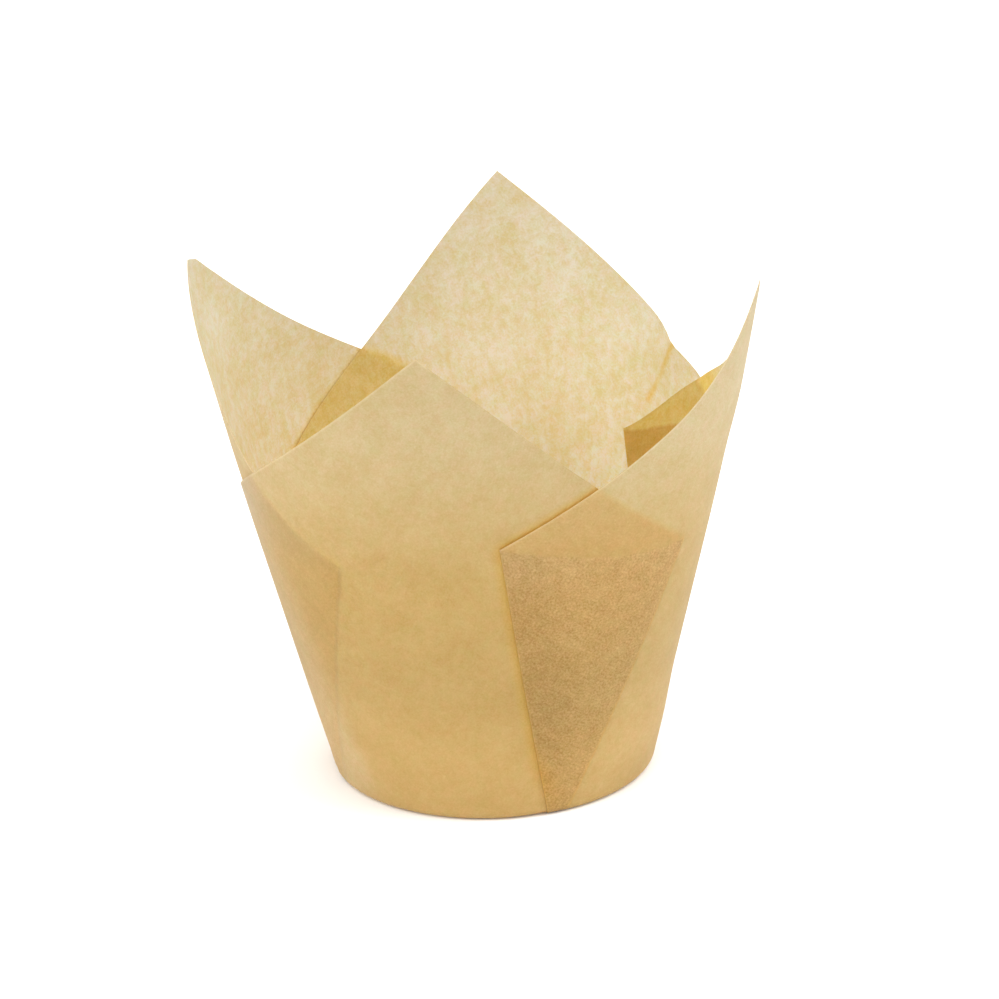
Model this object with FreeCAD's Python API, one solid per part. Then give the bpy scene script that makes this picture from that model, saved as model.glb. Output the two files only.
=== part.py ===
import FreeCAD, Part
import math
import os

# Tulip baking cup: one square sheet of greaseproof paper pressed into a tapered round cup.
# The four corners of the sheet stand up as petals and the spare width of each side is laid
# into one flat knife pleat, so there are four pleats, all turned the same way round.
# Frame: origin at the centre of the round base, on the surface it stands on, +Z up.
# The photographed front is -Y.  Azimuths run from -Y towards +X.  Units: mm, degrees.

# ---- driving dimensions -------------------------------------------------------------------
BASE_R = 25.0            # radius of the round base (standard 50 mm cup)
SHEET_SIDE = 156.4       # side of the flat square sheet
SHEET_TURN = -20.47      # azimuth of the first corner (the front petal)
PAPER_T = 0.08           # thickness of the paper
WALL_SLOPE = 14.11       # mean slope of the wall from the vertical
EDGE_FILLET = 1.5        # bend radius between base and wall
PANEL_AZ = [-26.46, 68.78, 148.01, 242.51]     # where each petal panel touches the base circle
PLEAT_SKEW = [2.49, 2.98, 0.0, 0.99]           # turn of each pleat from the middle of its side
# lean and ovality of the wall: slope added at azimuth a is c1*cos(a)+s1*sin(a)+ ...
SLOPE_HARM = [(1, -0.657, -0.337), (2, -1.360, -0.590), (4, -1.252, -0.197)]
# outward bend of the wall per mm above BEND_FROM, harmonics of the azimuth (radians per mm)
BEND_FROM = 40.0
BEND_MEAN = -0.00164
BEND_HARM = [(1, 0.00141, 0.00066), (2, 0.00297, -0.00044), (3, -0.00156, 0.00184), (4, 0.00289, -0.00127)]
PITCH_LOW = 0.26         # distance between the mid planes of two layers of a pleat, at the base
PITCH_RIM = 0.36         # the same at the cut edge of the sheet
PITCH_VERTEX = 0.16      # the same where a pleat starts
FLAT_HALF = 9.4          # half side of the square middle of the base, kept truly flat

# ---- numbers that follow ------------------------------------------------------------------
RAD = math.pi / 180.0
AL = WALL_SLOPE * RAD
SA = math.sin(AL)
CONE = BASE_R / SA                    # slant distance from the cone's apex to the base edge
C0 = CONE - BASE_R
HALF = SHEET_SIDE / 2.0
TURN = SHEET_TURN * RAD
PH = [a * RAD for a in PANEL_AZ]
PH = PH + [PH[0] + 2 * math.pi]


def smooth(x):
    x = min(1.0, max(0.0, x))
    return x * x * (3 - 2 * x)


def turned(v, a):
    c, s = math.cos(a), math.sin(a)
    return (v[0] * c - v[1] * s, v[0] * s + v[1] * c)


def wall_slope(th):
    a = WALL_SLOPE
    for n, c, s in SLOPE_HARM:
        a += c * math.cos(n * th) + s * math.sin(n * th)
    return a * RAD


def wall_bend(th):
    k = BEND_MEAN
    for n, c, s in BEND_HARM:
        k += c * math.cos(n * th) + s * math.sin(n * th)
    return k if abs(k) > 1e-9 else 1e-9


def form(m, th, lift):
    """Point of the cup's form: m = way from the centre along the form, th = azimuth,
    lift = distance from it towards the inside."""
    al = wall_slope(th)
    turn = math.pi / 2 - al
    arc = EDGE_FILLET * turn
    m1 = BASE_R - arc / 2
    if m <= m1:
        rho, z, psi = m, 0.0, 0.0
    elif m < m1 + arc:
        psi = (m - m1) / EDGE_FILLET
        rho = m1 + EDGE_FILLET * math.sin(psi)
        z = EDGE_FILLET * (1 - math.cos(psi))
    else:
        s = m - m1 - arc
        rho = m1 + EDGE_FILLET * math.sin(turn)
        z = EDGE_FILLET * (1 - math.cos(turn))
        st = BEND_FROM - arc / 2
        b = min(s, st)
        rho += b * math.sin(al)
        z += b * math.cos(al)
        ex = s - b
        k = wall_bend(th)
        a2 = al + k * ex
        rho += (math.cos(al) - math.cos(a2)) / k
        z += (math.sin(a2) - math.sin(al)) / k
        psi = math.pi / 2 - a2
    rho -= lift * math.sin(psi)
    z += lift * math.cos(psi) + PAPER_T / 2
    return (rho * math.sin(th), -rho * math.cos(th), z)


def cone_chart(ph, pt):
    """Panel rolled on to the wall without stretch: flat point -> (height along the wall, azimuth)."""
    q = turned(pt, -ph)
    qx, qy = q[0] + C0, q[1]
    return math.hypot(qx, qy) - CONE, ph + math.atan2(qy, qx) / SA


def arc_angle(v):
    """x with x - sin x = v"""
    x = (6 * v) ** (1.0 / 3) if v < 1.0 else 2.0
    for _ in range(30):
        f = x - math.sin(x) - v
        g = 1 - math.cos(x)
        x -= f / max(g, 1e-6)
        x = min(math.pi, max(1e-6, x))
    return x


class Side(object):
    """One side of the sheet with its pleat, in its own flat frame (X out to the side, Y along it)."""

    def __init__(self, i):
        self.i = i
        self.n = TURN + math.pi / 4 + i * math.pi / 2
        self.pa, self.pb = PH[i], PH[i + 1]
        self.delta = (self.pb - self.pa) * (1 - SA)
        self.mid = self.n + PLEAT_SKEW[i] * RAD
        a1, a2 = -self.pa * (1 - SA), -self.pb * (1 - SA)
        b1 = turned((C0, 0.0), self.pa * SA)
        b2 = turned((C0, 0.0), self.pb * SA)
        # the point that both panels' rolled positions share: the pleat starts there
        m00 = math.cos(a1) - math.cos(a2)
        m10 = math.sin(a1) - math.sin(a2)
        dx, dy = b2[0] - b1[0], b2[1] - b1[1]
        det = m00 * m00 + m10 * m10
        self.P = ((m00 * dx + m10 * dy) / det, (-m10 * dx + m00 * dy) / det)
        q = turned(self.P, a1)
        self.Pg = (q[0] + b1[0], q[1] + b1[1])
        self.midg = self.mid - (self.pa + self.pb) / 2 * (1 - SA)
        self.Pl = turned(self.P, -self.n)
        self.t1 = math.tan(self.mid - self.delta / 4 - self.n)   # inner fold line's slope
        self.t2 = math.tan(self.mid + self.delta / 4 - self.n)   # outer fold line's slope

    def pitch_ramp(self, X):
        return smooth((X - 26.2) / 8.0) * (PITCH_LOW + (PITCH_RIM - PITCH_LOW) * max(0.0, X - 34) / (HALF - 34))

    def pitch_near(self, X, d):
        return PITCH_VERTEX * (1 - smooth((X - 26.2) / 8.0)) * math.exp(-(d / 6.0) ** 2)

    def folds(self, X, dense):
        """Y of the two fold lines on the line X; kept apart by dense where the pleat starts"""
        px, py = self.Pl
        dx = max(X - px, 0.0)
        sep = dx * (self.t2 - self.t1)
        sep2 = (sep ** 4 + dense ** 4) ** 0.25
        mid = py + dx * (self.t1 + self.t2) / 2
        if X < px:
            mid = py * (X / px)
        return mid - sep2 / 2, mid + sep2 / 2

    def place(self, X, Y):
        """flat point of this side -> (m, azimuth, lift)"""
        pt = turned((X, Y), self.n)
        r = math.hypot(X, Y)
        phi = self.n + math.atan2(Y, X)
        rx, ry = X - self.Pl[0], Y - self.Pl[1]
        d = math.hypot(rx, ry)
        eta = math.atan2(ry, rx) - (self.mid - self.n)
        if eta > math.pi:
            eta -= 2 * math.pi
        if eta < -math.pi:
            eta += 2 * math.pi
        # share of the inner and the outer end of a panel
        f1, f2 = self.folds(X, 0.6)
        wa = math.sin(math.pi / 2 * min(1.0, max(0.0, (Y + X) / max(f1 + X, 1e-6))))
        wb = math.sin(math.pi / 2 * min(1.0, max(0.0, (X - Y) / max(X - f2, 1e-6))))
        big = self.pitch_ramp(X)
        near = self.pitch_near(X, d)
        p = big + near
        v = self.delta * d / p if p > 1e-9 else 9.0
        am = math.pi if v >= math.pi else arc_angle(max(v, 1e-9))
        g = (1 - math.cos(am)) / 2
        back = smooth((math.pi - abs(eta)) / (math.pi / 2))
        lev_a = big * g * (1 + wa) + 2 * near * g * back      # inner end of the first panel
        lev_b = big * g * (1 - wb)                            # outer end of the second panel
        if abs(eta) <= math.pi / 2 and p > 1e-9:
            sg = d * eta
            if am >= math.pi:
                L = self.delta * d / 2
                b = math.pi * p / 2
                if sg < -L / 2 - b / 2:
                    h, lift = sg + L, lev_a
                elif sg < -L / 2 + b / 2:
                    f = (sg + L / 2 + b / 2) / (p / 2)
                    h = L / 2 - b / 2 + p / 2 * math.sin(f)
                    lift = lev_a - p / 2 * (1 - math.cos(f))
                elif sg <= L / 2 - b / 2:
                    h, lift = -sg, p
                elif sg < L / 2 + b / 2:
                    f = (sg - L / 2 + b / 2) / (p / 2)
                    h = -(L / 2 - b / 2) - p / 2 * math.sin(f)
                    lift = p - p / 2 * (1 - math.cos(f))
                else:
                    h, lift = sg - L, lev_b
            else:
                a1 = am * p / 2
                full = p * (1 - math.cos(am))
                if sg < -a1:
                    h, lift = sg + self.delta * d / 2, lev_a
                elif sg < 0:
                    f = (sg + a1) / (p / 2)
                    h = -a1 + self.delta * d / 2 + p / 2 * math.sin(f)
                    lift = full - p / 2 * (1 - math.cos(f))
                elif sg <= a1:
                    f = (a1 - sg) / (p / 2)
                    h = -(-a1 + self.delta * d / 2 + p / 2 * math.sin(f))
                    lift = p / 2 * (1 - math.cos(f))
                else:
                    h, lift = sg - self.delta * d / 2, lev_b
            z = h / d if d > 1e-9 else 0.0
            qx = self.Pg[0] + d * math.cos(self.midg + z)
            qy = self.Pg[1] + d * math.sin(self.midg + z)
            s = math.hypot(qx, qy) - CONE
            ang = math.atan2(qy, qx)
            want = (self.pa + self.pb) / 2 * SA
            while ang - want > math.pi:
                ang -= 2 * math.pi
            while ang - want < -math.pi:
                ang += 2 * math.pi
            th = ang / SA
        else:
            sa_, ta = cone_chart(self.pa, pt)
            sb_, tb = cone_chart(self.pb, pt)
            if eta < 0:
                u, lift = eta + math.pi, lev_a
            else:
                u, lift = eta - math.pi, lev_b
            lam = smooth(0.5 + u / (2 * 40 * RAD))
            s = lam * sa_ + (1 - lam) * sb_
            th = lam * ta + (1 - lam) * tb
        w = smooth((r - 16.0) / 14.0)
        m = (1 - w) * r + w * (BASE_R + s)
        th = (1 - w) * phi + w * th
        return m, th, lift

    def point(self, X, Y):
        m, th, lift = self.place(X, Y)
        return form(m, th, lift)

    def both(self, X, Y):
        """outside and inside point of the paper at a flat point"""
        e = 0.004
        c = self.point(X, Y)
        x0, x1 = self.point(X - e, Y), self.point(X + e, Y)
        y0, y1 = self.point(X, Y - e), self.point(X, Y + e)
        a = [x1[k] - x0[k] for k in range(3)]
        b = [y1[k] - y0[k] for k in range(3)]
        n = (a[1] * b[2] - a[2] * b[1], a[2] * b[0] - a[0] * b[2], a[0] * b[1] - a[1] * b[0])
        f = PAPER_T / 2 / math.sqrt(n[0] ** 2 + n[1] ** 2 + n[2] ** 2)
        return (tuple(c[k] - f * n[k] for k in range(3)), tuple(c[k] + f * n[k] for k in range(3)))


# ---- grid of each side: lines that run with the folds, stations that run with the base edge -
PANEL_SHARE = [0.0, 0.0267, 0.08, 0.16, 0.24, 0.32, 0.40, 0.48, 0.56, 0.64, 0.72, 0.80, 0.87, 0.925, 0.965, 0.988]
MIDDLE_SHARE = [0.035, 0.12, 0.27, 0.42, 0.58, 0.73, 0.88, 0.965]
STRIP = [-1.3, -1.0, -0.75, -0.5, -0.25, 0.0, 0.25, 0.5, 0.75, 1.0, 1.3]    # times half the fold's arc
M_STATIONS = [14.5, 16.5, 18.3, 19.6, 20.4, 21.0, 21.5, 22.0, 22.5, 23.0, 23.5, 23.9, 24.25, 24.6, 25.0, 25.4, 25.75,
              26.1, 26.5, 27.1, 28.0, 29.2, 31.0]
RIM_SHARE = [0.04, 0.10, 0.18, 0.27, 0.36, 0.45, 0.54, 0.63, 0.72, 0.80, 0.87, 0.93, 0.97, 0.99, 1.0]


def line_y(side, k, X):
    """Y of grid line k on the line X"""
    na, ns, nm = len(PANEL_SHARE), len(STRIP), len(MIDDLE_SHARE)
    p = side.pitch_ramp(X) + side.pitch_near(X, 0.0)
    if X < side.Pl[0]:
        p = max(p, PITCH_VERTEX)
    half = math.pi * p / 4
    # the strips open out towards the flat middle of the base
    open_ = 1.0 + 5.0 * smooth((side.Pl[0] - 1.0 - X) / 12.0)
    dense = 2.9 * half * open_
    f1, f2 = side.folds(X, dense)
    h1 = half * open_ / math.cos(math.atan(side.t1))
    h2 = half * open_ / math.cos(math.atan(side.t2))
    a_end, m_start = f1 + STRIP[0] * h1, f1 + STRIP[-1] * h1
    m_end, b_start = f2 + STRIP[0] * h2, f2 + STRIP[-1] * h2
    if k < na:
        return -X + (a_end + X) * PANEL_SHARE[k]
    k -= na
    if k < ns:
        return f1 + STRIP[k] * h1
    k -= ns
    if k < nm:
        return m_start + (m_end - m_start) * MIDDLE_SHARE[k]
    k -= nm
    if k < ns:
        return f2 + STRIP[k] * h2
    k -= ns
    return X - (X - b_start) * PANEL_SHARE[na - 1 - k]


N_LINES = 2 * len(PANEL_SHARE) + 2 * len(STRIP) + len(MIDDLE_SHARE)


def station_x(side, k):
    """X of every station along grid line k"""
    xs = [FLAT_HALF]
    def way(X):
        return side.place(X, line_y(side, k, X))[0]
    lo_limit = FLAT_HALF
    m0 = way(FLAT_HALF)
    m_end = M_STATIONS[-1]
    for j, m in enumerate(M_STATIONS):
        # the first stations are squeezed so that they never fall behind the flat middle
        if m < 20.0:
            m = m0 + (20.0 - m0) * (m - 13.4) / (20.0 - 13.4) if m0 > 13.4 else m
            m = max(m, m0 + 0.3 * (j + 1))
        a, b = lo_limit, 40.0
        for _ in range(40):
            c = (a + b) / 2
            if way(c) < m:
                a = c
            else:
                b = c
        xs.append((a + b) / 2)
        lo_limit = xs[-1]
    x0 = xs[-1]
    for f in RIM_SHARE:
        xs.append(x0 + (HALF - x0) * f)
    return xs


def side_grid(i):
    side = Side(i)
    rows = []
    for k in range(N_LINES):
        row = [side.both(X, line_y(side, k, X)) for X in station_x(side, k)]
        # the middle of the base is truly flat
        lo, hi = row[0]
        row[0] = ((lo[0], lo[1], 0.0), (lo[0], lo[1], PAPER_T))
        rows.append(row)
    return rows


def fair(grid):
    """Moves every pole out along the paper's normal by the sag that a cubic surface has between
    its poles, so that the surface itself passes through the places worked out."""
    nu, nv = len(grid), len(grid[0])
    mid = [[tuple((lo[k] + hi[k]) / 2 for k in range(3)) for lo, hi in row] for row in grid]
    res = []
    for a in range(nu):
        row = []
        for b in range(nv):
            lo, hi = grid[a][b]
            n = tuple((hi[k] - lo[k]) / PAPER_T for k in range(3))
            move = 0.0
            c = mid[a][b]
            if 0 < a < nu - 1 and b > 0:
                p, q = mid[a - 1][b], mid[a + 1][b]
                end = min(a, nu - 1 - a)
                part = 0.2 if end == 1 else 0.231 if end == 2 else 1.0 / 6
                move -= part * sum((p[k] + q[k] - 2 * c[k]) * n[k] for k in range(3))
            if 0 < b < nv - 1:
                p, q = mid[a][b - 1], mid[a][b + 1]
                move -= sum((p[k] + q[k] - 2 * c[k]) * n[k] for k in range(3)) / 6
            row.append((tuple(lo[k] + move * n[k] for k in range(3)), tuple(hi[k] + move * n[k] for k in range(3))))
        res.append(row)
    return res


def knots(n):
    return [4] + [1] * (n - 4) + [4], [float(j) for j in range(n - 2)]


def surface(poles):
    """cubic surface on a net of poles"""
    um, uk = knots(len(poles))
    vm, vk = knots(len(poles[0]))
    bs = Part.BSplineSurface()
    bs.buildFromPolesMultsKnots([[FreeCAD.Vector(*p) for p in row] for row in poles],
                                um, vm, uk, vk, False, False, 3, 3)
    return bs


def strip(lower, upper):
    """narrow surface between two cubic curves with the same knots"""
    um, uk = knots(len(lower))
    bs = Part.BSplineSurface()
    bs.buildFromPolesMultsKnots([[FreeCAD.Vector(*a), FreeCAD.Vector(*b)] for a, b in zip(lower, upper)],
                                um, [2, 2], uk, [0.0, 1.0], False, False, 3, 1)
    return bs


# ---- the sheet ------------------------------------------------------------------------------
grids = [side_grid(i) for i in range(4)]
for i in range(4):
    # neighbouring sides share the line from the centre to the petal's tip
    grids[(i + 1) % 4][0] = grids[i][-1]

grids = [fair(g) for g in grids]
faces = []
for g in grids:
    outside = [[p[0] for p in row] for row in g]
    inside = [[p[1] for p in row] for row in g]
    faces.append(surface(outside).toShape())
    faces.append(surface(inside).toShape())
    faces.append(strip([row[-1] for row in outside], [row[-1] for row in inside]).toShape())
for level in (0, 1):
    corners = [FreeCAD.Vector(*g[0][0][level]) for g in grids]
    faces.append(Part.Face(Part.makePolygon(corners + [corners[0]])))

shell = Part.makeCompound(faces)
shell.sewShape(1e-4)
if shell.ShapeType == "Compound":
    shell = shell.Shells[0]
liner = Part.makeSolid(shell)
if liner.Volume < 0:
    liner.reverse()

os.makedirs("parts", exist_ok=True)
liner.exportStep("parts/liner.step")

box = liner.BoundBox
print("valid", liner.isValid(), "closed", liner.Shells[0].isClosed(), "faces", len(liner.Faces))
print("volume", round(liner.Volume, 2), "sheet area x thickness", round(SHEET_SIDE ** 2 * PAPER_T, 2))
print("box", [round(v, 2) for v in (box.XMin, box.YMin, box.ZMin, box.XMax, box.YMax, box.ZMax)])
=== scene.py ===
import math
import bpy
import numpy as np
from mathutils import Vector, Matrix


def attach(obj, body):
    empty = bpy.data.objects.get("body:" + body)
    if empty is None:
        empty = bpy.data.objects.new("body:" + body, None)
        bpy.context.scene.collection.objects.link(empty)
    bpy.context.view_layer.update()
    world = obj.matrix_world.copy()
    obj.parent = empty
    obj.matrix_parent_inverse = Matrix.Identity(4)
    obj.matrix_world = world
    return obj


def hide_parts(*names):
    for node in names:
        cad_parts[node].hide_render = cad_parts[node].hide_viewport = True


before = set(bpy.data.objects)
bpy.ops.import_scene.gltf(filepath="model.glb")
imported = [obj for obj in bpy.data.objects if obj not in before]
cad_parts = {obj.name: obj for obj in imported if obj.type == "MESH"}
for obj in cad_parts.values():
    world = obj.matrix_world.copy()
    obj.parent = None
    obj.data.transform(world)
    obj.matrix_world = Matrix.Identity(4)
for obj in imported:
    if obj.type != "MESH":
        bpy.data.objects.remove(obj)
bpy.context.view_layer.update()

# Tulip baking cup: one square sheet of unbleached greaseproof paper, pressed into a tapered cup with
# four knife pleats.  The sheet is laid out flat first (millimetres) and every point is then rolled and
# pleated into place, so the paper's grain and its overlaps follow the real flat sheet.

# ---- the same dimensions as the solid (mm, degrees) ------------------------------------------
BASE_R, SHEET_SIDE, SHEET_TURN, PAPER_T = 25.0, 156.4, -20.47, 0.08
WALL_SLOPE, EDGE_FILLET = 14.11, 1.5
PANEL_AZ = [-26.46, 68.78, 148.01, 242.51]
PLEAT_SKEW = [2.49, 2.98, 0.0, 0.99]
SLOPE_HARM = [(1, -0.657, -0.337), (2, -1.360, -0.590), (4, -1.252, -0.197)]
BEND_FROM, BEND_MEAN = 40.0, -0.00164
BEND_HARM = [(1, 0.00141, 0.00066), (2, 0.00297, -0.00044), (3, -0.00156, 0.00184), (4, 0.00289, -0.00127)]
PITCH_LOW, PITCH_RIM, PITCH_VERTEX = 0.18, 0.22, 0.14     # laid closer than the solid, as pressed paper is
FLAT_HALF = 9.4
# the left petal's tip is crushed: the last part of it, what is left of that, and the cut's turn (degrees);
# it also leans out a little (mm)
TIP_BLUNT, TIP_LEFT, TIP_TURN, TIP_LEAN = 1.5, 0.20, -20.0, 0.42
# the corners of the two rear pleats have slipped down a little (mm), and the right petal's rear edge is tilted
FOLD_SLIP, EDGE_TILT = 2.1, 0.9
CREASE_UP = 1.7                       # how far the crease stands inwards at the cut edge (mm)
# the right petal flares, most at its edges: side, place, reach, mm
FLARE = ((0, 57.0, 15.0, 0.40), (1, -47.0, 10.0, 0.30))
PETAL_FLARE = 0.20
CREASE = ((-64.98, 55.10), (-60.07, 45.94))     # crease near the rear petal's right edge, flat position (mm)
RAD = math.pi / 180
SA = math.sin(WALL_SLOPE * RAD)
CONE = BASE_R / SA
C0 = CONE - BASE_R
HALF = SHEET_SIDE / 2
TURN = SHEET_TURN * RAD
PH = [a * RAD for a in PANEL_AZ]
PH.append(PH[0] + 2 * math.pi)


def smooth(x):
    x = np.clip(x, 0.0, 1.0)
    return x * x * (3 - 2 * x)


def turn2(x, y, a):
    c, s = np.cos(a), np.sin(a)
    return x * c - y * s, x * s + y * c


def harm(th, mean, terms):
    v = mean + 0.0 * th
    for n, c, s in terms:
        v = v + c * np.cos(n * th) + s * np.sin(n * th)
    return v


def form(m, th, lift):
    al = harm(th, WALL_SLOPE, SLOPE_HARM) * RAD
    turn = math.pi / 2 - al
    arc = EDGE_FILLET * turn
    m1 = BASE_R - arc / 2
    f = np.clip((m - m1) / EDGE_FILLET, 0.0, turn)
    rho = np.minimum(m, m1) + EDGE_FILLET * np.sin(f)
    z = EDGE_FILLET * (1 - np.cos(f))
    s = np.maximum(m - m1 - arc, 0.0)
    b = np.minimum(s, BEND_FROM - arc / 2)
    ex = s - b
    k = harm(th, BEND_MEAN, BEND_HARM)
    k = np.where(np.abs(k) < 1e-9, 1e-9, k)
    a2 = al + k * ex
    rho = rho + b * np.sin(al) + (np.cos(al) - np.cos(a2)) / k
    z = z + b * np.cos(al) + (np.sin(a2) - np.sin(al)) / k
    psi = np.where(s > 0, math.pi / 2 - a2, f)
    rho = rho - lift * np.sin(psi)
    z = z + lift * np.cos(psi) + PAPER_T / 2
    return np.stack([rho * np.sin(th), -rho * np.cos(th), z], -1)


def chart(ph, x, y):
    qx, qy = turn2(x, y, -ph)
    qx = qx + C0
    return np.hypot(qx, qy) - CONE, ph + np.arctan2(qy, qx) / SA


def arc_angle(v):
    x = np.where(v < 1.0, np.cbrt(6 * v), 2.0)
    for _ in range(25):
        x = np.clip(x - (x - np.sin(x) - v) / np.maximum(1 - np.cos(x), 1e-6), 1e-6, math.pi)
    return x


class Side:
    def __init__(self, i):
        self.i = i
        self.n = TURN + math.pi / 4 + i * math.pi / 2
        self.pa, self.pb = PH[i], PH[i + 1]
        self.delta = (self.pb - self.pa) * (1 - SA)
        self.mid = self.n + PLEAT_SKEW[i] * RAD
        a1, a2 = -self.pa * (1 - SA), -self.pb * (1 - SA)
        b1 = turn2(C0, 0.0, self.pa * SA)
        b2 = turn2(C0, 0.0, self.pb * SA)
        m00, m10 = math.cos(a1) - math.cos(a2), math.sin(a1) - math.sin(a2)
        dx, dy = b2[0] - b1[0], b2[1] - b1[1]
        det = m00 * m00 + m10 * m10
        self.P = ((m00 * dx + m10 * dy) / det, (-m10 * dx + m00 * dy) / det)
        q = turn2(self.P[0], self.P[1], a1)
        self.Pg = (q[0] + b1[0], q[1] + b1[1])
        self.midg = self.mid - (self.pa + self.pb) / 2 * (1 - SA)
        self.Pl = turn2(self.P[0], self.P[1], -self.n)
        self.t1 = math.tan(self.mid - self.delta / 4 - self.n)
        self.t2 = math.tan(self.mid + self.delta / 4 - self.n)

    def ramp(self, X):
        return smooth((X - 26.2) / 8.0) * (PITCH_LOW + (PITCH_RIM - PITCH_LOW) * np.maximum(0.0, X - 34) / (HALF - 34))

    def near(self, X, d):
        return PITCH_VERTEX * (1 - smooth((X - 26.2) / 8.0)) * np.exp(-(d / 6.0) ** 2)

    def folds(self, X, dense):
        px, py = self.Pl
        dx = np.maximum(X - px, 0.0)
        sep = ((dx * (self.t2 - self.t1)) ** 4 + dense ** 4) ** 0.25
        mid = np.where(X < px, py * (X / px), py + dx * (self.t1 + self.t2) / 2)
        return mid - sep / 2, mid + sep / 2

    def place(self, X, Y):
        x, y = turn2(X, Y, self.n)
        r = np.hypot(X, Y)
        phi = self.n + np.arctan2(Y, X)
        rx, ry = X - self.Pl[0], Y - self.Pl[1]
        d = np.maximum(np.hypot(rx, ry), 1e-9)
        eta = np.arctan2(ry, rx) - (self.mid - self.n)
        eta = np.where(eta > math.pi, eta - 2 * math.pi, np.where(eta < -math.pi, eta + 2 * math.pi, eta))
        f1, f2 = self.folds(X, 0.6)
        wa = np.sin(math.pi / 2 * np.clip(3.5 * (Y + X) / np.maximum(f1 + X, 1e-6), 0, 1))
        wb = np.sin(math.pi / 2 * np.clip(3.5 * (X - Y) / np.maximum(X - f2, 1e-6), 0, 1))
        big, near = self.ramp(X), self.near(X, d)
        p = np.maximum(big + near, 1e-9)
        v = self.delta * d / p
        am = np.where(v >= math.pi, math.pi, arc_angle(np.clip(v, 1e-9, math.pi)))
        g = (1 - np.cos(am)) / 2
        back = smooth((math.pi - np.abs(eta)) / (math.pi / 2))
        la = big * g * (1 + wa) + 2 * near * g * back
        lb = big * g * (1 - wb)
        sg = d * eta
        # fully laid pleat
        L, b, q = self.delta * d / 2, math.pi * p / 2, p / 2
        fa = np.clip((sg + L / 2 + b / 2) / q, 0, math.pi)
        fb = np.clip((sg - L / 2 + b / 2) / q, 0, math.pi)
        h = np.where(sg < -L / 2 - b / 2, sg + L,
            np.where(sg < -L / 2 + b / 2, L / 2 - b / 2 + q * np.sin(fa),
            np.where(sg <= L / 2 - b / 2, -sg,
            np.where(sg < L / 2 + b / 2, -(L / 2 - b / 2) - q * np.sin(fb), sg - L))))
        lift = np.where(sg < -L / 2 - b / 2, la,
               np.where(sg < -L / 2 + b / 2, la - q * (1 - np.cos(fa)),
               np.where(sg <= L / 2 - b / 2, p,
               np.where(sg < L / 2 + b / 2, p - q * (1 - np.cos(fb)), lb))))
        # where the pleat starts it is only a soft step
        a1 = am * q
        full = p * (1 - np.cos(am))
        up, dn = np.clip((sg + a1) / q, 0, math.pi), np.clip((a1 - sg) / q, 0, math.pi)
        hs = np.where(sg < -a1, sg + L, np.where(sg < 0, -a1 + L + q * np.sin(up),
             np.where(sg <= a1, -(-a1 + L + q * np.sin(dn)), sg - L)))
        ls = np.where(sg < -a1, la, np.where(sg < 0, full - q * (1 - np.cos(up)),
             np.where(sg <= a1, q * (1 - np.cos(dn)), lb)))
        soft = v < math.pi
        h, lift = np.where(soft, hs, h), np.where(soft, ls, lift)
        ang = self.midg + h / d
        qx, qy = self.Pg[0] + d * np.cos(ang), self.Pg[1] + d * np.sin(ang)
        s = np.hypot(qx, qy) - CONE
        want = (self.pa + self.pb) / 2 * SA
        a = np.arctan2(qy, qx)
        a = a - 2 * math.pi * np.round((a - want) / (2 * math.pi))
        th = a / SA
        # behind the start of the pleat the two panels' positions are mixed
        s1, t1 = chart(self.pa, x, y)
        s2, t2 = chart(self.pb, x, y)
        u = np.where(eta < 0, eta + math.pi, eta - math.pi)
        lam = smooth(0.5 + u / (80 * RAD))
        behind = np.abs(eta) > math.pi / 2
        s = np.where(behind, lam * s1 + (1 - lam) * s2, s)
        th = np.where(behind, lam * t1 + (1 - lam) * t2, th)
        lift = np.where(behind, np.where(eta < 0, la, lb), lift)
        w = smooth((r - 16.0) / 14.0)
        m, th = (1 - w) * r + w * (BASE_R + s), (1 - w) * phi + w * th
        # the left petal's tip
        tip = TURN + 1.5 * math.pi + TIP_TURN * RAD
        e = np.maximum(x * math.cos(tip) + y * math.sin(tip) - (HALF * math.sqrt(2) * math.cos(TIP_TURN * RAD) - TIP_BLUNT), 0.0)
        m = m - e + TIP_LEFT * np.tanh(e / TIP_LEFT)
        # the rear pleats' corners
        high = smooth((X - 50.0) / 28.0)
        g1, g2 = self.folds(X, 0.6)
        if self.i == 1:
            u = np.abs(Y - g1)
            rise = EDGE_TILT * smooth((u - 7.0) / 8.0) * (1 - smooth((u - 20.0) / 10.0))
            m = m + high * np.where(Y < g1, rise - FOLD_SLIP * (1 - smooth(u / 11.0)), -FOLD_SLIP * (1 - smooth(u / 14.0)))
        if self.i == 2:
            m = m - high * FOLD_SLIP * (1 - smooth(np.abs(Y - g2) / 12.0))
        return m, th, lift

    def point(self, X, Y):
        m, th, lift = self.place(X, Y)
        x, y = turn2(X, Y, self.n)
        return form(m, th, lift + relief(x, y))

    def both(self, X, Y):
        e = 0.004
        c = self.point(X, Y)
        n = np.cross(self.point(X + e, Y) - self.point(X - e, Y), self.point(X, Y + e) - self.point(X, Y - e))
        n /= np.linalg.norm(n, axis=-1, keepdims=True)
        return c - n * PAPER_T / 2, c + n * PAPER_T / 2


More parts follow.
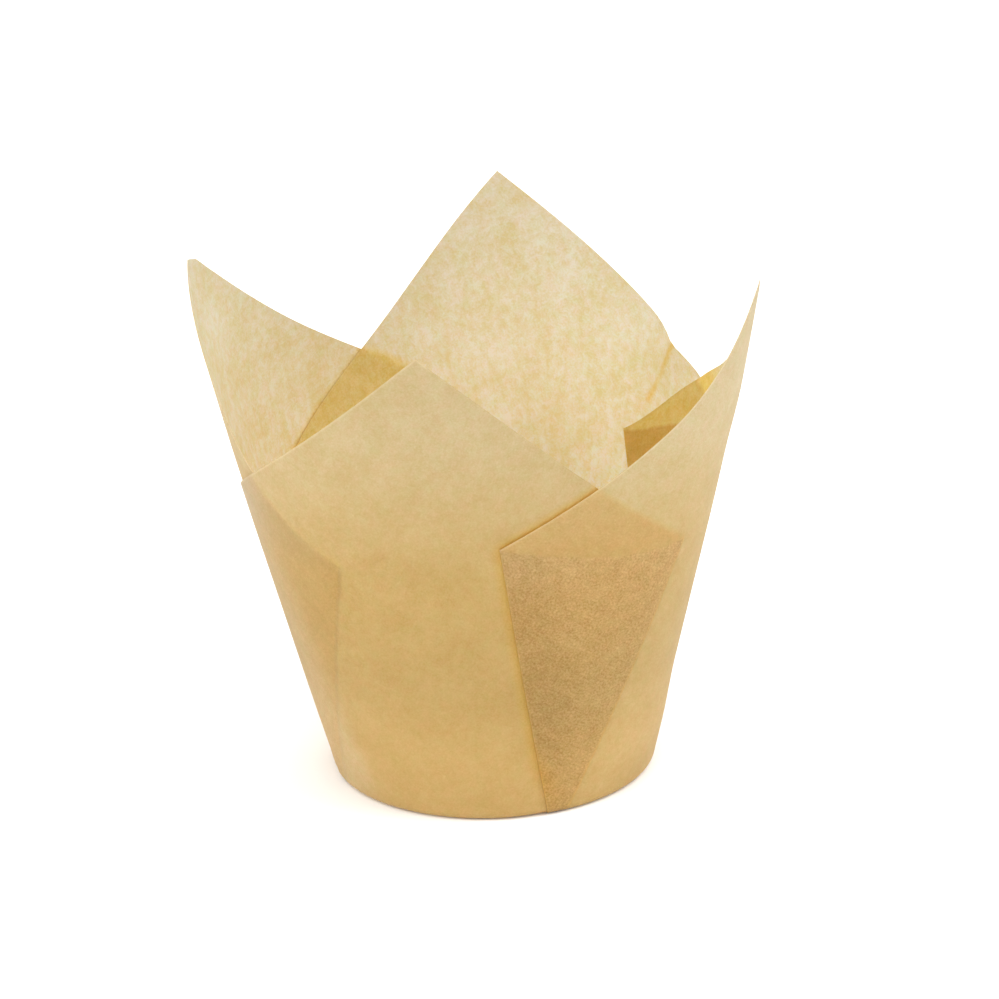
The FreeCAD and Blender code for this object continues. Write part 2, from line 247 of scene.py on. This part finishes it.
def relief(x, y):
    """unevenness of the petals, inwards, by flat position (mm); none where the paper is laid double"""
    r = np.hypot(x, y)
    a = np.arctan2(y, x) - TURN
    off = np.abs(a - math.pi / 2 * np.round(a / (math.pi / 2)))        # from the petal's middle
    w = smooth((r * np.cos(off) - 76.0) / 14.0)
    v = (0.10 * np.sin(0.131 * x + 0.083 * y + 0.4) * np.sin(0.097 * y - 0.061 * x + 1.9)
         + 0.05 * np.sin(0.29 * x - 0.17 * y + 2.2) * np.sin(0.23 * y + 0.11 * x + 0.7))
    # the crease is a sharp ridge at the cut edge and dies out along its length
    (ax, ay), (bx, by) = CREASE
    ln = math.hypot(bx - ax, by - ay)
    ux, uy = (bx - ax) / ln, (by - ay) / ln
    t = (x - ax) * ux + (y - ay) * uy
    d = (y - ay) * ux - (x - ax) * uy
    far = np.sqrt(d * d + 0.09) - 0.3
    ridge = np.clip(1 - far / np.where(d > 0, 8.0, 7.0), 0, 1) ** 1.5 * (1 - smooth((t + 1.5) / 12.5))
    # the left petal leans out at its tip, and edges flare
    q = x * math.cos(TURN + 1.5 * math.pi) + y * math.sin(TURN + 1.5 * math.pi)
    v = w * v + CREASE_UP * ridge - TIP_LEAN * smooth((q - 96.0) / 13.0)
    q = x * math.cos(TURN + math.pi / 2) + y * math.sin(TURN + math.pi / 2)
    v = v - PETAL_FLARE * smooth((q - 78.0) / 14.0) * (1 - smooth((q - 100.0) / 10.6))
    for k, at, reach, out in FLARE:
        cx, cy = turn2(HALF, at, TURN + math.pi / 4 + k * math.pi / 2)
        v = v - out * (1 - smooth(np.hypot(x - cx, y - cy) / reach))
    return v


# ---- grid of one side: lines along the folds, stations along the base edge ---------------------
def shares():
    pan = np.concatenate([[0.0, 0.004, 0.008, 0.012, 0.017, 0.024], np.linspace(0.045, 0.90, 31),
                          [0.92, 0.938, 0.954, 0.967, 0.978, 0.987, 0.994]])
    mid = np.concatenate([[0.012, 0.03, 0.06, 0.10], np.linspace(0.15, 0.85, 15), [0.90, 0.94, 0.97, 0.988]])
    strip = np.concatenate([[-1.3], np.linspace(-1.0, 1.0, 11), [1.3]])
    return pan, mid, strip


PAN, MID, STRIP = shares()
M_ST = np.concatenate([np.linspace(14.2, 20.2, 7), [20.7, 21.1, 21.5, 21.9, 22.3, 22.7, 23.1, 23.45],
                       np.linspace(23.7, 26.3, 14), [26.6, 27.0, 27.6, 28.3, 29.1, 30.0]])
RIM = np.concatenate([np.linspace(0, 0.955, 38)[1:], [0.966, 0.975, 0.982, 0.988, 0.993, 0.997, 1.0]])


def lines_y(side, X):
    """Y of every grid line at the distances X (one value per line)"""
    p = side.ramp(X) + side.near(X, 0.0)
    p = np.where(X < side.Pl[0], np.maximum(p, PITCH_VERTEX), p)
    half = math.pi * p / 4
    wide = 1.0 + 5.0 * smooth((side.Pl[0] - 1.0 - X) / 12.0)
    f1, f2 = side.folds(X, 2.9 * half * wide)
    h1 = half * wide / math.cos(math.atan(side.t1))
    h2 = half * wide / math.cos(math.atan(side.t2))
    a_end, m0 = f1 + STRIP[0] * h1, f1 + STRIP[-1] * h1
    m1, b0 = f2 + STRIP[0] * h2, f2 + STRIP[-1] * h2
    cols = [-X + (a_end + X) * s for s in PAN]
    cols += [f1 + s * h1 for s in STRIP]
    cols += [m0 + (m1 - m0) * s for s in MID]
    cols += [f2 + s * h2 for s in STRIP]
    cols += [X - (X - b0) * s for s in PAN[::-1]]
    return cols


def side_points(i):
    side = Side(i)
    n = 2 * len(PAN) + 2 * len(STRIP) + len(MID)
    ks = np.arange(n)

    def ys(X):
        return np.stack(lines_y(side, X), 0)[ks, ks]      # line k at its own X

    def way(X):
        return side.place(X, ys(X))[0]
    X0 = np.full(n, FLAT_HALF)
    m0 = way(X0)
    xs = [X0]
    lo = X0.copy()
    for j, m in enumerate(M_ST):
        tgt = np.full(n, m)
        if m < 20.3:
            f = (m - 13.4) / (20.3 - 13.4)
            tgt = np.maximum(np.where(m0 > 13.4, m0 + (20.3 - m0) * f, m), m0 + 0.3 * (j + 1))
        a, b = lo.copy(), np.full(n, 40.0)
        for _ in range(34):
            c = (a + b) / 2
            low = way(c) < tgt
            a, b = np.where(low, c, a), np.where(low, b, c)
        lo = (a + b) / 2
        xs.append(lo)
    top = xs[-1]
    for f in RIM:
        xs.append(top + (HALF - top) * f)
    XS = np.stack(xs, 1)                                    # lines x stations
    YS = np.stack([ys(XS[:, j]) for j in range(XS.shape[1])], 1)
    out, ins = side.both(XS, YS)
    out[:, 0, 2], ins[:, 0, 2] = 0.0, PAPER_T
    fx, fy = turn2(XS, YS, side.n)
    return out, ins, np.stack([fx, fy], -1)


def build_sheet():
    sides = [side_points(i) for i in range(4)]
    nl, ns = sides[0][0].shape[:2]
    verts, flats = [], []
    ids = np.zeros((4, 2, nl, ns), int)
    for i, (out, ins, flat) in enumerate(sides):
        for f, pts in enumerate((out, ins)):
            for a in range(nl):
                if a == 0 and i > 0:
                    ids[i, f, 0] = ids[i - 1, f, nl - 1]
                elif a == nl - 1 and i == 3:
                    ids[i, f, a] = ids[0, f, 0]
                else:
                    ids[i, f, a] = np.arange(len(verts), len(verts) + ns)
                    verts.extend(pts[a].tolist())
                    flats.extend(flat[a].tolist())
    faces, mats = [], []
    for i in range(4):
        for f in (0, 1):
            g = ids[i, f]
            q = np.stack([g[:-1, :-1], g[1:, :-1], g[1:, 1:], g[:-1, 1:]], -1).reshape(-1, 4)
            # lines run with the azimuth, stations outwards: the inside looks up and in
            q = q[:, ::-1] if f == 1 else q
            faces.extend(q.tolist())
            mats.extend([f] * len(q))
        o, n = ids[i, 0, :, -1], ids[i, 1, :, -1]
        q = np.stack([o[:-1], o[1:], n[1:], n[:-1]], -1)
        faces.extend(q.tolist())
        mats.extend([2] * len(q))
    # the flat middle of the base: rings of the four sides' first stations, filled with a small grid
    for f in (0, 1):
        ring = []
        for i in range(4):
            ring.extend(ids[i, f, :-1, 0].tolist())
        pts = np.array([flats[v] for v in ring])
        prev = ring
        n = len(ring)
        for k in (0.8, 0.6, 0.4, 0.2):
            cur = list(range(len(verts), len(verts) + n))
            for p, v in zip(pts, ring):
                q = p * k
                flats.append(q.tolist())
                az = math.atan2(q[1], q[0])
                rr = math.hypot(q[0], q[1])
                verts.append([rr * math.sin(az), -rr * math.cos(az), PAPER_T if f else 0.0])
            for a in range(n):
                b = (a + 1) % n
                q = [prev[a], prev[b], cur[b], cur[a]]
                faces.append(q if f else q[::-1])
                mats.append(f)
            prev = cur
        c = len(verts)
        verts.append([0.0, 0.0, PAPER_T if f else 0.0])
        flats.append([0.0, 0.0])
        for a in range(n):
            b = (a + 1) % n
            t = [prev[a], prev[b], c]
            faces.append(t if f else t[::-1])
            mats.append(f)
    return np.array(verts), np.array(flats), faces, mats


verts, flats, faces, mats = build_sheet()
mesh = bpy.data.meshes.new("liner_sheet")
mesh.from_pydata((verts / 1000.0).tolist(), [], faces)
mesh.validate()
liner = bpy.data.objects.new("paper_liner", mesh)
bpy.context.scene.collection.objects.link(liner)
mesh.polygons.foreach_set("material_index", mats)
mesh.polygons.foreach_set("use_smooth", [True] * len(mesh.polygons))
# flat sheet coordinates, 0..1 over 200 mm
UV_MM = 200.0
uv = mesh.uv_layers.new(name="flat_sheet")
loop_v = np.zeros(len(mesh.loops), int)
mesh.loops.foreach_get("vertex_index", loop_v)
uv.data.foreach_set("uv", (flats[loop_v] / UV_MM + 0.5).ravel())
# the cut edge is sharp
sharp = mesh.attributes.new("sharp_edge", "BOOLEAN", "EDGE")
rim_pairs = set()
for f, m in zip(faces, mats):
    if m == 2:
        rim_pairs.add((min(f[0], f[1]), max(f[0], f[1])))
        rim_pairs.add((min(f[2], f[3]), max(f[2], f[3])))
ev = np.zeros(len(mesh.edges) * 2, int)
mesh.edges.foreach_get("vertices", ev)
ev = np.sort(ev.reshape(-1, 2), 1)
sharp.data.foreach_set("value", [(int(a), int(b)) in rim_pairs for a, b in ev])
mesh.update()


# ---- paper material -----------------------------------------------------------------------------
class Nodes:
    """small helper to write a node tree as formulas"""

    def __init__(self, mat):
        mat.use_nodes = True
        self.t = mat.node_tree
        self.t.nodes.clear()

    def new(self, kind, **props):
        n = self.t.nodes.new(kind)
        for k, v in props.items():
            setattr(n, k, v)
        return n

    def put(self, sock, v):
        if isinstance(v, bpy.types.NodeSocket):
            self.t.links.new(v, sock)
        else:
            sock.default_value = v

    def math(self, op, a, b=0.0, c=0.0, clamp=False):
        n = self.new("ShaderNodeMath", operation=op, use_clamp=clamp)
        for s, v in zip(n.inputs, (a, b, c)):
            self.put(s, v)
        return n.outputs[0]

    def vec(self, op, a, b=(0, 0, 0), c=(0, 0, 0)):
        n = self.new("ShaderNodeVectorMath", operation=op)
        self.put(n.inputs[0], a)
        self.put(n.inputs[1], b)
        if op == "MULTIPLY_ADD":
            self.put(n.inputs[2], c)
        return n.outputs["Value"] if op in ("DOT_PRODUCT", "LENGTH", "DISTANCE") else n.outputs["Vector"]

    def noise(self, v, scale, detail=2.0, rough=0.5, distort=0.0):
        n = self.new("ShaderNodeTexNoise", noise_dimensions="3D")
        self.put(n.inputs["Vector"], v)
        n.inputs["Scale"].default_value = scale
        n.inputs["Detail"].default_value = detail
        n.inputs["Roughness"].default_value = rough
        n.inputs["Distortion"].default_value = distort
        return n.outputs["Fac"]

    def ramp(self, v, a, b, lo=0.0, hi=1.0):
        n = self.new("ShaderNodeMapRange", interpolation_type="SMOOTHSTEP")
        self.put(n.inputs["Value"], v)
        n.inputs["From Min"].default_value = a
        n.inputs["From Max"].default_value = b
        n.inputs["To Min"].default_value = lo
        n.inputs["To Max"].default_value = hi
        return n.outputs["Result"]

    def linear(self, v, a, b):
        n = self.new("ShaderNodeMapRange")
        self.put(n.inputs["Value"], v)
        n.inputs["From Min"].default_value = a
        n.inputs["From Max"].default_value = b
        return n.outputs["Result"]

    def up(self, v):
        """a vector along z"""
        n = self.new("ShaderNodeCombineXYZ")
        self.put(n.inputs["Z"], v)
        return n.outputs[0]

    def mix(self, f, a, b, mode="MIX"):
        n = self.new("ShaderNodeMix", data_type="RGBA", blend_type=mode)
        self.put(n.inputs["Factor"], f)
        self.put(n.inputs[6], a if isinstance(a, bpy.types.NodeSocket) else (*a, 1.0))
        self.put(n.inputs[7], b if isinstance(b, bpy.types.NodeSocket) else (*b, 1.0))
        return n.outputs[2]


SIDES = [Side(i) for i in range(4)]


# how sharply the painted shade of hidden layers is edged, per side (1/mm): the folded layer's cut edge,
# the other panel's cut edge, and the hidden fold, then how strongly the painted shade shows at all. Where
# layers lie close its edges are crisp, where they stand apart they blur. The last value is how much
# further the other panel's painted shade reaches on the inside (mm).
SHOW = [(2.2, 0.8, 1.6, 1.0, 0.0), (1.8, 0.10, 2.0, 1.0, 7.0), (0.45, 0.70, 0.45, 0.85, 0.6), (0.25, 0.45, 1.2, 0.50, 0.0)]


def ry_of(N, pos, s):
    """distance along side s, from its middle"""
    return N.vec("DOT_PRODUCT", pos, (-math.sin(s.n), math.cos(s.n), 0))


def layers_behind(N, pos, inside):
    """how many other layers of the sheet lie on a flat point (0, 1 or 2) once the pleats are laid"""
    total = None

    def less(rel, nx, ny, c, k=4.0, slip=None):
        """1 where nx*x + ny*y < c, fading over 1/k mm at that line; slip lowers the line"""
        d = N.vec("DOT_PRODUCT", rel, (nx, ny, 0))
        if slip is not None:
            d = N.math("ADD", d, slip)
        return N.math("MULTIPLY_ADD", d, -k, c * k + (0.1 if k > 1.1 else 0.5), clamp=True)

    for s in SIDES:
        rel = N.vec("SUBTRACT", pos, (s.P[0], s.P[1], 0))
        nx, ny = math.cos(s.n), math.sin(s.n)
        room = HALF - (nx * s.P[0] + ny * s.P[1])
        k_mid, k_far, k_fold, strong, reach = SHOW[s.i]

        def line(a, side, k=4.0):
            """1 on the side of the line at direction a through the pleat's start"""
            return less(rel, side * -math.sin(a), side * math.cos(a), 0.0, k)

        def mirrored(a, slip=None):
            m = 2 * a - s.n
            return less(rel, math.cos(m), math.sin(m), room, k_mid, slip)

        def rotated(a, slip=None, k=k_far, more=0.0):
            return less(rel, math.cos(s.n + a), math.sin(s.n + a), room + more, k, slip)

        def slipped(e, a):
            """how far the hidden corner on fold e has slipped, where it lies at direction a"""
            far = room / math.cos(e - s.n)
            c = N.vec("DISTANCE", rel, (far * math.cos(a), far * math.sin(a), 0))
            return N.ramp(c, 15.0, 2.0, 0.0, FOLD_SLIP + 0.6)
        q = s.delta / 4
        e1, e2 = s.mid - q, s.mid + q
        slip1 = slipped(e1, s.mid + 3 * q) if s.i == 1 else None
        slip2 = slipped(e2, s.mid - 3 * q) if s.i == 2 else None
        # outer panel, over the pleat
        zone = N.math("MULTIPLY", line(e2, -1), line(s.mid + 3 * q, 1, k_fold))
        cnt = N.math("ADD", mirrored(e2, slip1), rotated(s.delta, slip1, k=max(k_far, 0.5)))
        part = N.math("MULTIPLY", zone, cnt)
        # inner panel
        zone2 = N.math("MULTIPLY", line(e1, 1), line(s.mid - 3 * q, -1, k_fold))
        if inside:
            cnt2 = N.math("ADD", mirrored(e1, slip2), rotated(-s.delta, slip2, k_far, reach))
        else:
            cnt2 = N.math("ADD", mirrored(e1, slip2), rotated(-s.delta, slip2, max(k_far, 0.5)))
        part = N.math("MULTIPLY_ADD", zone2, cnt2, part)
        # the layer between them
        zone3 = N.math("MULTIPLY", line(e1, -1), line(e2, 1))
        cnt3 = N.math("ADD", mirrored(e1), mirrored(e2))
        part = N.math("MULTIPLY_ADD", zone3, cnt3, part)
        total = N.math("MULTIPLY", part, strong) if total is None else N.math("MULTIPLY_ADD", part, strong, total)
    return total


# colours of the paper (linear): low on the cup and at the petals, and how far the tone wanders round
# them from the thin to the dense places of the sheet. The change from low to high outwards is painted
# light: on the outside the petals are painted paler for light through them from behind, on the inside
# the cup is painted paler low down. The inside colours as a whole are painted paler than the outside,
# standing in for light through the sheet, and layer2 and layer3 are painted shade where one or two
# other layers lie behind.
TONE = {
    False: dict(low=(0.608, 0.430, 0.167), high=(0.681, 0.545, 0.305), rise=(64.0, 100.0), thin=(1.06, 1.085, 1.20),
                dense=(0.94, 0.915, 0.83), layer2=(1.07, 1.00, 0.79), layer3=(1.03, 1.01, 1.06)),
    True: dict(low=(0.885, 0.840, 0.630), high=(0.628, 0.572, 0.404), rise=(66.0, 112.0), thin=(1.04, 1.07, 1.30),
               dense=(0.96, 0.90, 0.70), layer2=(1.06, 0.90, 0.36), layer3=(0.90, 0.73, 0.53)),
}
TRANSLUCENT = 0.50


def paper(name, inside):
    mat = bpy.data.materials.new(name)
    N = Nodes(mat)
    tone = TONE[inside]
    uvn = N.new("ShaderNodeUVMap", uv_map="flat_sheet")
    pos = N.vec("MULTIPLY_ADD", uvn.outputs["UV"], (UV_MM, UV_MM, 0), (-UV_MM / 2, -UV_MM / 2, 0))   # mm
    lay = layers_behind(N, pos, inside)
    one = N.math("MULTIPLY", lay, 1.0, clamp=True)
    two = N.math("SUBTRACT", lay, 1.0, clamp=True)
    r = N.vec("LENGTH", pos)

    # formation of the sheet: cloudy clumps, flecks and fine grain
    cloud = N.noise(pos, 0.16, 4.0, 0.60, 0.4)
    fleck = N.noise(pos, 0.85, 4.0, 0.62, 0.3)
    grain = N.noise(pos, 3.0, 2.0, 0.6)
    if inside:
        # the pressed wall has fine up-and-down streaks
        spoke = N.vec("MULTIPLY_ADD", N.vec("NORMALIZE", pos), (62.0, 62.0, 0), N.up(N.math("MULTIPLY", r, 0.10)))
        streak = N.noise(spoke, 1.0, 3.0, 0.6, 0.2)
        amount = N.math("MULTIPLY", N.ramp(r, 34.0, 50.0), N.ramp(r, 98.0, 72.0, 0.15, 1.0))
        w = N.math("MULTIPLY_ADD", N.math("SUBTRACT", cloud, 0.5), 0.70, 0.5)
        w = N.math("MULTIPLY_ADD", N.math("SUBTRACT", fleck, 0.5), 0.95, w)
        w = N.math("MULTIPLY_ADD", N.math("SUBTRACT", grain, 0.5), 0.75, w)
        w = N.math("MULTIPLY_ADD", N.math("MULTIPLY", N.math("SUBTRACT", streak, 0.5), amount), 0.65, w)
    else:
        w = N.math("MULTIPLY_ADD", N.math("SUBTRACT", cloud, 0.5), 0.55, 0.5)
        w = N.math("MULTIPLY_ADD", N.math("SUBTRACT", fleck, 0.5), 0.65, w)
        w = N.math("MULTIPLY_ADD", N.math("SUBTRACT", grain, 0.5), 0.65, w)
    w = N.linear(w, 0.28, 0.72)
    # painted light: outwards the colour goes from low to high, painting the outside petals paler and the inside of the
    # cup paler low down
    col = N.mix(N.ramp(r, *tone["rise"]), tone["low"], tone["high"])
    # painted light: the right petal's part of the sheet is painted paler, standing in for light from the right side;
    # none of this reaches the base
    wall = N.ramp(r, 20.0, 34.0)
    toward = N.vec("DOT_PRODUCT", N.vec("NORMALIZE", pos), (math.cos(TURN + math.pi / 2), math.sin(TURN + math.pi / 2), 0))
    col = N.mix(N.math("MULTIPLY", wall, N.ramp(toward, 0.55, 0.95)), col, (1.03, 1.06, 1.14), "MULTIPLY")
    if inside:
        # painted light and shade: the left petal's inside is painted darker part way up and paler towards its tip,
        # where light comes through from behind
        left = N.vec("DOT_PRODUCT", pos, (math.cos(TURN - math.pi / 2), math.sin(TURN - math.pi / 2), 0))
        col = N.mix(N.ramp(left, 35.0, 60.0), col, (0.95, 0.925, 0.87), "MULTIPLY")
        col = N.mix(N.ramp(left, 76.0, 102.0), col, (1.13, 1.19, 1.29), "MULTIPLY")
        # painted light: the inside is painted paler on the rear petal's right part, by the rear right pleat
        a = SIDES[1].n + 0.33
        toward = N.vec("DOT_PRODUCT", N.vec("NORMALIZE", pos), (math.cos(a), math.sin(a), 0))
        col = N.mix(N.math("MULTIPLY", wall, N.ramp(toward, 0.90, 0.985)), col, (1.07, 1.11, 1.17), "MULTIPLY")
    else:
        # painted light: the lower wall by the base is left lighter than the wall above, making up for the shade the
        # floor brings there, and the part towards the left pleat is painted paler and less yellow
        col = N.mix(N.ramp(r, 34.0, 52.0), col, (0.885, 0.890, 0.880), "MULTIPLY")
        toward = N.vec("DOT_PRODUCT", N.vec("NORMALIZE", pos), (math.cos(SIDES[3].n), math.sin(SIDES[3].n), 0))
        col = N.mix(N.math("MULTIPLY", wall, N.ramp(toward, 0.90, 0.965)), col, (1.07, 1.17, 1.55), "MULTIPLY")
        col = N.mix(N.math("MULTIPLY", one, N.ramp(toward, 0.80, 0.90)), col, (1.04, 1.09, 1.22), "MULTIPLY")
    col = N.mix(1.0, col, N.mix(w, tone["dense"], tone["thin"]), "MULTIPLY")
    hue = N.linear(N.noise(N.vec("ADD", pos, (31.0, 17.0, 5.0)), 0.55, 3.0, 0.6), 0.25, 0.75)
    col = N.mix(1.0, col, N.mix(hue, (1.025, 0.975, 1.01), (0.975, 1.025, 0.99)), "MULTIPLY")
    # painted shade: where other layers lie behind, the paper is painted darker and browner, standing in for the light
    # they hold back; the grain also shows more strongly there
    col = N.mix(one, col, tone["layer2"], "MULTIPLY")
    col = N.mix(two, col, tone["layer3"], "MULTIPLY")
    if not inside:
        # painted shade: on the outside the zones with two layers behind are darker still lower down
        col = N.mix(N.math("MULTIPLY", two, N.ramp(r, 72.0, 42.0)), col, (0.90, 0.92, 0.91), "MULTIPLY")
        # painted shade: the front right pleat is darkest beside the fold of its outer layer
        s = SIDES[0]
        fold = s.mid + s.delta / 4
        d = N.vec("DOT_PRODUCT", N.vec("SUBTRACT", pos, (s.P[0], s.P[1], 0)), (-math.sin(fold), math.cos(fold), 0))
        here = N.vec("DOT_PRODUCT", pos, (math.cos(s.n), math.sin(s.n), 0))
        beside = N.math("MULTIPLY", N.math("MULTIPLY", two, N.ramp(d, 12.0, 3.0)), N.ramp(here, 34.0, 50.0))
        col = N.mix(beside, col, (0.91, 0.89, 0.86), "MULTIPLY")
    grit = N.noise(pos, 2.7, 3.0, 0.65, 0.0)
    gw = N.linear(N.math("MULTIPLY_ADD", grit, 0.72, N.math("MULTIPLY", N.noise(N.vec("ADD", pos, (9.0, 4.0, 2.0)), 0.55, 3.0, 0.6), 0.28)), 0.34, 0.66)
    spread = N.math("MULTIPLY_ADD", two, 0.15 if inside else 0.80,
                    N.math("MULTIPLY_ADD", one, 0.16, 0.03 if inside else 0.14))
    col = N.mix(spread, col, N.mix(gw, (0.81, 0.74, 0.62), (1.19, 1.28, 1.46)), "MULTIPLY")
    if not inside:
        # painted shade: the front petal is painted yellower and darker in a narrow line beside the right petal's fold
        # and cut edge, where that petal lies over it
        s = SIDES[0]
        rel = N.vec("SUBTRACT", pos, (s.P[0], s.P[1], 0))
        a = s.mid - 3 * s.delta / 4
        beside = N.math("MULTIPLY_ADD", N.vec("DOT_PRODUCT", rel, (math.sin(a), -math.cos(a), 0)), -0.55, 1.0, clamp=True)
        room = HALF - (math.cos(s.n) * s.P[0] + math.sin(s.n) * s.P[1])
        over = N.vec("DOT_PRODUCT", rel, (math.cos(s.n - s.delta), math.sin(s.n - s.delta), 0))
        over = N.math("MULTIPLY_ADD", over, -0.65, room * 0.65 + 0.9, clamp=True)
        gold_shade = N.math("MULTIPLY", N.math("MULTIPLY", beside, over), N.ramp(r, 30.0, 40.0))
        col = N.mix(N.math("MULTIPLY", gold_shade, N.ramp(ry_of(N, pos, s), 6.0, 2.0)), col, (1.05, 0.97, 0.66), "MULTIPLY")
    # a band along the cut edge of the sheet: on the inside a little darker and more orange; on the outside a little
    # paler, a painted highlight along the edge
    rx = N.vec("DOT_PRODUCT", pos, (math.cos(SIDES[0].n), math.sin(SIDES[0].n), 0))
    ry = N.vec("DOT_PRODUCT", pos, (-math.sin(SIDES[0].n), math.cos(SIDES[0].n), 0))
    far = N.math("MAXIMUM", N.math("ABSOLUTE", rx), N.math("ABSOLUTE", ry))
    if inside:
        col = N.mix(N.ramp(far, HALF - 0.7, HALF - 0.1, 0.0, 0.15), col, (0.68, 0.50, 0.24))
    else:
        # all but the front petal's right edge
        clear = N.math("MAXIMUM", N.math("MAXIMUM", N.ramp(ry, -2.0, 2.0), N.ramp(ry, -74.0, -77.0)), N.ramp(rx, 10.0, 0.0))
        edge_highlight = N.math("MULTIPLY", N.ramp(far, HALF - 0.45, HALF - 0.1, 0.0, 0.22), clear)
        col = N.mix(edge_highlight, col, (0.86, 0.76, 0.54))
    # the crease by the rear petal's edge, strongest at its two ends: painted shade, an orange line along it
    (ax, ay), (bx, by) = CREASE
    ln = math.hypot(bx - ax, by - ay)
    ux, uy = (bx - ax) / ln, (by - ay) / ln
    rel = N.vec("SUBTRACT", pos, (ax, ay, 0))
    t = N.vec("DOT_PRODUCT", rel, (ux, uy, 0))
    d = N.math("ABSOLUTE", N.vec("DOT_PRODUCT", rel, (-uy, ux, 0)))
    ends = N.ramp(N.math("ABSOLUTE", N.math("SUBTRACT", t, 0.52 * ln)), 0.05 * ln, 0.45 * ln, 0.60, 1.0)
    line = N.math("MULTIPLY", N.ramp(d, 0.90, 0.05), N.ramp(t, ln + 0.9, ln))
    col = N.mix(N.math("MULTIPLY", line, ends), col, (0.98, 0.85, 0.46), "MULTIPLY")

    bump = N.new("ShaderNodeBump")
    bump.inputs["Strength"].default_value = 0.30
    bump.inputs["Distance"].default_value = 0.0001
    hgt = N.math("MULTIPLY_ADD", fleck, 0.6, N.math("MULTIPLY", grain, 0.4))
    N.put(bump.inputs["Height"], hgt)
    pr = N.new("ShaderNodeBsdfPrincipled")
    N.put(pr.inputs["Base Color"], col)
    N.put(pr.inputs["Roughness"], N.math("MULTIPLY_ADD", fleck, 0.25, 0.50))
    pr.inputs["Specular IOR Level"].default_value = 0.25
    pr.inputs["Sheen Weight"].default_value = 0.20
    pr.inputs["Sheen Roughness"].default_value = 0.45
    N.put(pr.inputs["Normal"], bump.outputs["Normal"])
    tr = N.new("ShaderNodeBsdfTranslucent")
    N.put(tr.inputs["Color"], col)
    N.put(tr.inputs["Normal"], bump.outputs["Normal"])
    mx = N.new("ShaderNodeMixShader")
    mx.inputs["Fac"].default_value = TRANSLUCENT
    N.put(mx.inputs[1], pr.outputs[0])
    N.put(mx.inputs[2], tr.outputs[0])
    out = N.new("ShaderNodeOutputMaterial")
    N.put(out.inputs["Surface"], mx.outputs[0])
    mat.use_backface_culling = False
    return mat


mesh.materials.append(paper("liner_paper_outside", False))
mesh.materials.append(paper("liner_paper_inside", True))
mesh.materials.append(paper("liner_paper_edge", False))
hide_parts("liner")
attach(liner, "root")

# ---- studio ------------------------------------------------------------------------------------
scene = bpy.context.scene
fm = bpy.data.meshes.new("studio_floor")
S = 4.0
fm.from_pydata([(-S, -S, 0), (S, -S, 0), (S, S, 0), (-S, S, 0)], [], [(0, 1, 2, 3)])
floor = bpy.data.objects.new("studio_floor", fm)
floor.location.z = -0.00005
scene.collection.objects.link(floor)
fmat = bpy.data.materials.new("studio_floor")
fmat.use_nodes = True
fb = fmat.node_tree.nodes["Principled BSDF"]
fb.inputs["Base Color"].default_value = (0.95, 0.95, 0.95, 1)
fb.inputs["Roughness"].default_value = 0.9
fb.inputs["Specular IOR Level"].default_value = 0.1
fm.materials.append(fmat)

world = bpy.data.worlds.new("studio")
scene.world = world
world.use_nodes = True
bg = world.node_tree.nodes["Background"]
bg.inputs["Color"].default_value = (1.0, 1.0, 1.0, 1)
bg.inputs["Strength"].default_value = 1.00


def area(name, loc, size, watts, colour=(1, 1, 1)):
    d = bpy.data.lights.new(name, "AREA")
    d.shape, d.size, d.energy, d.color = "DISK", size, watts, colour
    o = bpy.data.objects.new(name, d)
    o.location = loc
    o.rotation_euler = (Vector((0, 0, 0.04)) - Vector(loc)).to_track_quat("-Z", "Y").to_euler()
    scene.collection.objects.link(o)
    return o


area("key_light", (-0.35, -0.75, 1.50), 1.2, 8.0)
area("front_fill", (-0.20, -1.60, 0.30), 1.2, 3.0)
area("left_fill", (-1.30, -0.45, 0.55), 1.2, 6.0)
area("side_light", (1.05, -0.30, 1.15), 1.2, 13.0)
area("back_light", (0.25, 1.10, 0.95), 1.2, 5.5)

cam_d = bpy.data.cameras.new("photo_camera")
cam_d.sensor_width = 36.0
cam_d.lens = 205.99
cam = bpy.data.objects.new("photo_camera", cam_d)
right = Vector((0.99945819, -0.01195234, -0.030667))
up = Vector((0.03291388, 0.36294294, 0.93122989))
back = Vector((0.0, -0.93173471, 0.36313969))
cam.matrix_world = Matrix((
    (right.x, up.x, back.x, 0.00215502),
    (right.y, up.y, back.y, -0.82995232),
    (right.z, up.z, back.z, 0.36680864),
    (0, 0, 0, 1)))
scene.collection.objects.link(cam)
scene.camera = cam
scene.view_settings.view_transform = "Standard"
scene.view_settings.look = "None"
